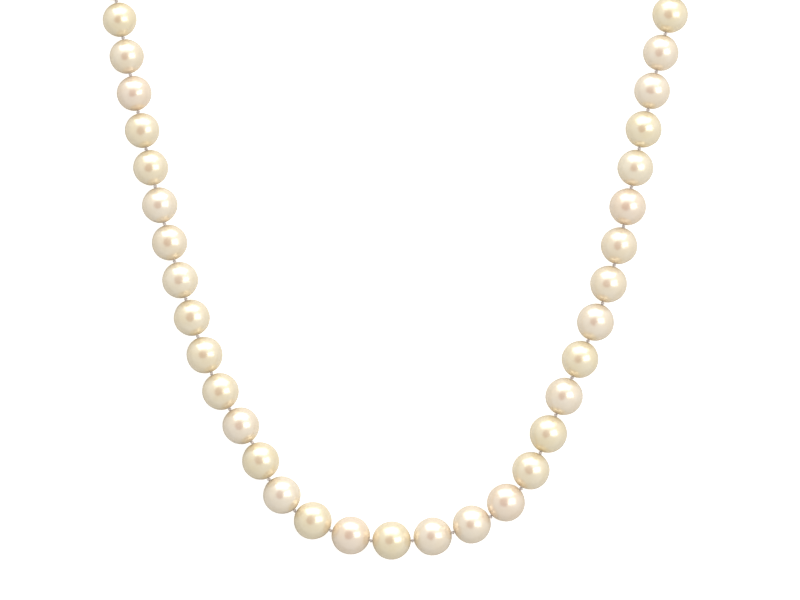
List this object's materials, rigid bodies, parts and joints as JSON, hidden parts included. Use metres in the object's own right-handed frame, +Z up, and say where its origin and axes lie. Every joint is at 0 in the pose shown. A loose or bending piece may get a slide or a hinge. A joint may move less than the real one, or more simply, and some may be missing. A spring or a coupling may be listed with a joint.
{
  "type": "pearl necklace",
  "caption": "Single strand of graduated cream pearls, silk-knotted between each, laid in an open U with a gold push-in clasp unfastened.",
  "frame": {"origin": "middle of the laid-out strand's bounding box, on the table's surface", "axes": "+Z up from the table, +Y from the centre pearl towards the open clasp ends, +X to the right"},
  "size_m": [0.1394, 0.1952, 0.008],
  "materials": {
    "pearl": "nacre lustre",
    "silk": "twisted silk",
    "gimp_wire": "fine coiled wire",
    "gold": "polished gold"
  },
  "bodies": {
    "pearl_centre": {"pearl_centre": "pearl"},
    "pearl_left_01": {"pearl_left_01": "pearl"},
    "pearl_left_02": {"pearl_left_02": "pearl"},
    "pearl_left_03": {"pearl_left_03": "pearl"},
    "pearl_left_04": {"pearl_left_04": "pearl"},
    "pearl_left_05": {"pearl_left_05": "pearl"},
    "pearl_left_06": {"pearl_left_06": "pearl"},
    "pearl_left_07": {"pearl_left_07": "pearl"},
    "pearl_left_08": {"pearl_left_08": "pearl"},
    "pearl_left_09": {"pearl_left_09": "pearl"},
    "pearl_left_10": {"pearl_left_10": "pearl"},
    "pearl_left_11": {"pearl_left_11": "pearl"},
    "pearl_left_12": {"pearl_left_12": "pearl"},
    "pearl_left_13": {"pearl_left_13": "pearl"},
    "pearl_left_14": {"pearl_left_14": "pearl"},
    "pearl_left_15": {"pearl_left_15": "pearl"},
    "pearl_left_16": {"pearl_left_16": "pearl"},
    "pearl_left_17": {"pearl_left_17": "pearl"},
    "pearl_left_18": {"pearl_left_18": "pearl"},
    "pearl_left_19": {"pearl_left_19": "pearl"},
    "pearl_left_20": {"pearl_left_20": "pearl"},
    "pearl_left_21": {"pearl_left_21": "pearl"},
    "pearl_left_22": {"pearl_left_22": "pearl"},
    "pearl_left_23": {"pearl_left_23": "pearl"},
    "pearl_left_24": {"pearl_left_24": "pearl", "gimp_left": "gimp_wire", "thread_end_left": "silk"},
    "pearl_right_01": {"pearl_right_01": "pearl"},
    "pearl_right_02": {"pearl_right_02": "pearl"},
    "pearl_right_03": {"pearl_right_03": "pearl"},
    "pearl_right_04": {"pearl_right_04": "pearl"},
    "pearl_right_05": {"pearl_right_05": "pearl"},
    "pearl_right_06": {"pearl_right_06": "pearl"},
    "pearl_right_07": {"pearl_right_07": "pearl"},
    "pearl_right_08": {"pearl_right_08": "pearl"},
    "pearl_right_09": {"pearl_right_09": "pearl"},
    "pearl_right_10": {"pearl_right_10": "pearl"},
    "pearl_right_11": {"pearl_right_11": "pearl"},
    "pearl_right_12": {"pearl_right_12": "pearl"},
    "pearl_right_13": {"pearl_right_13": "pearl"},
    "pearl_right_14": {"pearl_right_14": "pearl"},
    "pearl_right_15": {"pearl_right_15": "pearl"},
    "pearl_right_16": {"pearl_right_16": "pearl"},
    "pearl_right_17": {"pearl_right_17": "pearl"},
    "pearl_right_18": {"pearl_right_18": "pearl"},
    "pearl_right_19": {"pearl_right_19": "pearl"},
    "pearl_right_20": {"pearl_right_20": "pearl"},
    "pearl_right_21": {"pearl_right_21": "pearl"},
    "pearl_right_22": {"pearl_right_22": "pearl"},
    "pearl_right_23": {"pearl_right_23": "pearl"},
    "pearl_right_24": {"pearl_right_24": "pearl", "gimp_right": "gimp_wire", "thread_end_right": "silk"},
    "clasp_box_half": {"clasp_box": "gold", "clasp_lid": "gold", "box_eyelet": "gold"},
    "clasp_tongue_half": {"tongue_base": "gold", "tongue_eyelet": "gold"},
    "thumb_leaf": {"tongue_spring": "gold", "thumb_tab": "gold"}
  },
  "joints": [
    {"name": "box_swing", "type": "hinge", "parent": "pearl_left_24", "child": "clasp_box_half", "pos_m": [-0.0659, 0.0796, 0.0032], "axis": [0, 0, 1], "range_deg": [-60, 60]},
    {"name": "tongue_swing", "type": "hinge", "parent": "pearl_right_24", "child": "clasp_tongue_half", "pos_m": [0.06657, 0.08381, 0.0032], "axis": [0, 0, 1], "range_deg": [-60, 60]},
    {"name": "thumb_press", "type": "hinge", "parent": "clasp_tongue_half", "child": "thumb_leaf", "pos_m": [0.0676, 0.09742, 0.00161], "axis": [0.9972, -0.0749, 0], "range_deg": [0, 8], "stiffness_Nm_per_rad": 0.01},
    {"name": "left_knot_01", "type": "hinge", "parent": "pearl_centre", "child": "pearl_left_01", "pos_m": [-0.0059, -0.09356, 0.004], "axis": [0, 0, 1], "range_deg": [-15.7, 44.3]},
    {"name": "left_knot_02", "type": "hinge", "parent": "pearl_left_01", "child": "pearl_left_02", "pos_m": [-0.01418, -0.09145, 0.00399], "axis": [0.3637, 0.9315, 0], "range_deg": [-26.7, 26.7]},
    {"name": "left_knot_03", "type": "hinge", "parent": "pearl_left_02", "child": "pearl_left_03", "pos_m": [-0.0216, -0.08744, 0.00393], "axis": [0, 0, -1], "range_deg": [-52.4, 7.6]},
    {"name": "left_knot_04", "type": "hinge", "parent": "pearl_left_03", "child": "pearl_left_04", "pos_m": [-0.02691, -0.08094, 0.00392], "axis": [-0.8495, -0.5276, 0], "range_deg": [-26.4, 26.4]},
    {"name": "left_knot_05", "type": "hinge", "parent": "pearl_left_04", "child": "pearl_left_05", "pos_m": [-0.03037, -0.07332, 0.00391], "axis": [0, 0, -1], "range_deg": [-20.3, 39.7]},
    {"name": "left_knot_06", "type": "hinge", "parent": "pearl_left_05", "child": "pearl_left_06", "pos_m": [-0.035, -0.0665, 0.00384], "axis": [-0.8601, -0.5101, 0], "range_deg": [-29.2, 29.2]},
    {"name": "left_knot_07", "type": "hinge", "parent": "pearl_left_06", "child": "pearl_left_07", "pos_m": [-0.03878, -0.05914, 0.00385], "axis": [0, 0, 1], "range_deg": [-23, 37]},
    {"name": "left_knot_08", "type": "hinge", "parent": "pearl_left_07", "child": "pearl_left_08", "pos_m": [-0.0416, -0.05147, 0.00381], "axis": [0.9454, 0.3259, 0], "range_deg": [-29.9, 29.9]},
    {"name": "left_knot_09", "type": "hinge", "parent": "pearl_left_08", "child": "pearl_left_09", "pos_m": [-0.04408, -0.04376, 0.00377], "axis": [0, 0, 1], "range_deg": [-28.6, 31.4]},
    {"name": "left_knot_10", "type": "hinge", "parent": "pearl_left_09", "child": "pearl_left_10", "pos_m": [-0.04639, -0.03598, 0.00378], "axis": [0.962, 0.2731, 0], "range_deg": [-30, 30]},
    {"name": "left_knot_11", "type": "hinge", "parent": "pearl_left_10", "child": "pearl_left_11", "pos_m": [-0.04848, -0.02827, 0.00371], "axis": [0, 0, -1], "range_deg": [-31.3, 28.7]},
    {"name": "left_knot_12", "type": "hinge", "parent": "pearl_left_11", "child": "pearl_left_12", "pos_m": [-0.0504, -0.02053, 0.00371], "axis": [-0.9721, -0.2347, 0], "range_deg": [-30, 30]},
    {"name": "left_knot_13", "type": "hinge", "parent": "pearl_left_12", "child": "pearl_left_13", "pos_m": [-0.05221, -0.01282, 0.00368], "axis": [0, 0, -1], "range_deg": [-30.7, 29.3]},
    {"name": "left_knot_14", "type": "hinge", "parent": "pearl_left_13", "child": "pearl_left_14", "pos_m": [-0.05391, -0.00518, 0.00363], "axis": [-0.9774, -0.2114, 0], "range_deg": [-30, 30]},
    {"name": "left_knot_15", "type": "hinge", "parent": "pearl_left_14", "child": "pearl_left_15", "pos_m": [-0.05552, 0.00249, 0.00364], "axis": [0, 0, 1], "range_deg": [-29.3, 30.7]},
    {"name": "left_knot_16", "type": "hinge", "parent": "pearl_left_15", "child": "pearl_left_16", "pos_m": [-0.05702, 0.01007, 0.00359], "axis": [0.9821, 0.1883, 0], "range_deg": [-30, 30]},
    {"name": "left_knot_17", "type": "hinge", "parent": "pearl_left_16", "child": "pearl_left_17", "pos_m": [-0.05843, 0.01762, 0.00356], "axis": [0, 0, 1], "range_deg": [-29.3, 30.7]},
    {"name": "left_knot_18", "type": "hinge", "parent": "pearl_left_17", "child": "pearl_left_18", "pos_m": [-0.05974, 0.02519, 0.00356], "axis": [0.9866, 0.1634, 0], "range_deg": [-30, 30]},
    {"name": "left_knot_19", "type": "hinge", "parent": "pearl_left_18", "child": "pearl_left_19", "pos_m": [-0.06091, 0.03264, 0.00349], "axis": [0, 0, -1], "range_deg": [-30.8, 29.2]},
    {"name": "left_knot_20", "type": "hinge", "parent": "pearl_left_19", "child": "pearl_left_20", "pos_m": [-0.06199, 0.04012, 0.0035], "axis": [-0.9908, -0.1352, 0], "range_deg": [-30, 30]},
    {"name": "left_knot_21", "type": "hinge", "parent": "pearl_left_20", "child": "pearl_left_21", "pos_m": [-0.06295, 0.04754, 0.00346], "axis": [0, 0, -1], "range_deg": [-30.8, 29.2]},
    {"name": "left_knot_22", "type": "hinge", "parent": "pearl_left_21", "child": "pearl_left_22", "pos_m": [-0.06379, 0.05488, 0.00342], "axis": [-0.9942, -0.1073, 0], "range_deg": [-30, 30]},
    {"name": "left_knot_23", "type": "hinge", "parent": "pearl_left_22", "child": "pearl_left_23", "pos_m": [-0.06453, 0.06225, 0.00342], "axis": [0, 0, 1], "range_deg": [-29.2, 30.8]},
    {"name": "left_knot_24", "type": "hinge", "parent": "pearl_left_23", "child": "pearl_left_24", "pos_m": [-0.06517, 0.06951, 0.00336], "axis": [0.9968, 0.0797, 0], "range_deg": [-30, 30]},
    {"name": "right_knot_01", "type": "hinge", "parent": "pearl_centre", "child": "pearl_right_01", "pos_m": [0.00266, -0.09356, 0.004], "axis": [0, 0, 1], "range_deg": [-41.4, 18.6]},
    {"name": "right_knot_02", "type": "hinge", "parent": "pearl_right_01", "child": "pearl_right_02", "pos_m": [0.01101, -0.09187, 0.00398], "axis": [0.2932, -0.9561, 0], "range_deg": [-28, 28]},
    {"name": "right_knot_03", "type": "hinge", "parent": "pearl_right_02", "child": "pearl_right_03", "pos_m": [0.01883, -0.0886, 0.00396], "axis": [0, 0, -1], "range_deg": [-9.9, 50.1]},
    {"name": "right_knot_04", "type": "hinge", "parent": "pearl_right_03", "child": "pearl_right_04", "pos_m": [0.02506, -0.08283, 0.00397], "axis": [-0.7881, 0.6156, 0], "range_deg": [-24.1, 24.1]},
    {"name": "right_knot_05", "type": "hinge", "parent": "pearl_right_04", "child": "pearl_right_05", "pos_m": [0.0291, -0.07548, 0.00392], "axis": [0, 0, -1], "range_deg": [-23.4, 36.6]},
    {"name": "right_knot_06", "type": "hinge", "parent": "pearl_right_05", "child": "pearl_right_06", "pos_m": [0.03228, -0.06769, 0.00392], "axis": [-0.9228, 0.3852, 0], "range_deg": [-30, 30]},
    {"name": "right_knot_07", "type": "hinge", "parent": "pearl_right_06", "child": "pearl_right_07", "pos_m": [0.03556, -0.05999, 0.00391], "axis": [0, 0, 1], "range_deg": [-29.2, 30.8]},
    {"name": "right_knot_08", "type": "hinge", "parent": "pearl_right_07", "child": "pearl_right_08", "pos_m": [0.03893, -0.05241, 0.00387], "axis": [0.9249, -0.3803, 0], "range_deg": [-29.9, 29.9]},
    {"name": "right_knot_09", "type": "hinge", "parent": "pearl_right_08", "child": "pearl_right_09", "pos_m": [0.04188, -0.04462, 0.00389], "axis": [0, 0, 1], "range_deg": [-33.6, 26.4]},
    {"name": "right_knot_10", "type": "hinge", "parent": "pearl_right_09", "child": "pearl_right_10", "pos_m": [0.04432, -0.03675, 0.00384], "axis": [0.964, -0.2659, 0], "range_deg": [-29.8, 29.8]},
    {"name": "right_knot_11", "type": "hinge", "parent": "pearl_right_10", "child": "pearl_right_11", "pos_m": [0.04626, -0.02876, 0.00383], "axis": [0, 0, -1], "range_deg": [-27.5, 32.5]},
    {"name": "right_knot_12", "type": "hinge", "parent": "pearl_right_11", "child": "pearl_right_12", "pos_m": [0.04785, -0.02069, 0.00383], "axis": [-0.9803, 0.1978, 0], "range_deg": [-30, 30]},
    {"name": "right_knot_13", "type": "hinge", "parent": "pearl_right_12", "child": "pearl_right_13", "pos_m": [0.04949, -0.01274, 0.00378], "axis": [0, 0, -1], "range_deg": [-30.5, 29.5]},
    {"name": "right_knot_14", "type": "hinge", "parent": "pearl_right_13", "child": "pearl_right_14", "pos_m": [0.05121, -0.00477, 0.0038], "axis": [-0.9764, 0.2159, 0], "range_deg": [-30, 30]},
    {"name": "right_knot_15", "type": "hinge", "parent": "pearl_right_14", "child": "pearl_right_15", "pos_m": [0.053, 0.00312, 0.00377], "axis": [0, 0, 1], "range_deg": [-29.5, 30.5]},
    {"name": "right_knot_16", "type": "hinge", "parent": "pearl_right_15", "child": "pearl_right_16", "pos_m": [0.05484, 0.01094, 0.00374], "axis": [0.9723, -0.2338, 0], "range_deg": [-30, 30]},
    {"name": "right_knot_17", "type": "hinge", "parent": "pearl_right_16", "child": "pearl_right_17", "pos_m": [0.05676, 0.01878, 0.00375], "axis": [0, 0, 1], "range_deg": [-30.5, 29.5]},
    {"name": "right_knot_18", "type": "hinge", "parent": "pearl_right_17", "child": "pearl_right_18", "pos_m": [0.05858, 0.02653, 0.0037], "axis": [0.9759, -0.218, 0], "range_deg": [-30, 30]},
    {"name": "right_knot_19", "type": "hinge", "parent": "pearl_right_18", "child": "pearl_right_19", "pos_m": [0.06023, 0.03432, 0.0037], "axis": [0, 0, -1], "range_deg": [-28.7, 31.3]},
    {"name": "right_knot_20", "type": "hinge", "parent": "pearl_right_19", "child": "pearl_right_20", "pos_m": [0.0617, 0.04213, 0.00369], "axis": [-0.9848, 0.1739, 0], "range_deg": [-30, 30]},
    {"name": "right_knot_21", "type": "hinge", "parent": "pearl_right_20", "child": "pearl_right_21", "pos_m": [0.06298, 0.04988, 0.00365], "axis": [0, 0, -1], "range_deg": [-28.7, 31.3]},
    {"name": "right_knot_22", "type": "hinge", "parent": "pearl_right_21", "child": "pearl_right_22", "pos_m": [0.0641, 0.0577, 0.00367], "axis": [-0.9915, 0.1299, 0], "range_deg": [-30, 30]},
    {"name": "right_knot_23", "type": "hinge", "parent": "pearl_right_22", "child": "pearl_right_23", "pos_m": [0.06502, 0.06546, 0.00363], "axis": [0, 0, 1], "range_deg": [-31.3, 28.7]},
    {"name": "right_knot_24", "type": "hinge", "parent": "pearl_right_23", "child": "pearl_right_24", "pos_m": [0.06578, 0.0732, 0.00361], "axis": [0.9963, -0.0859, 0], "range_deg": [-30, 30]}
  ]
}
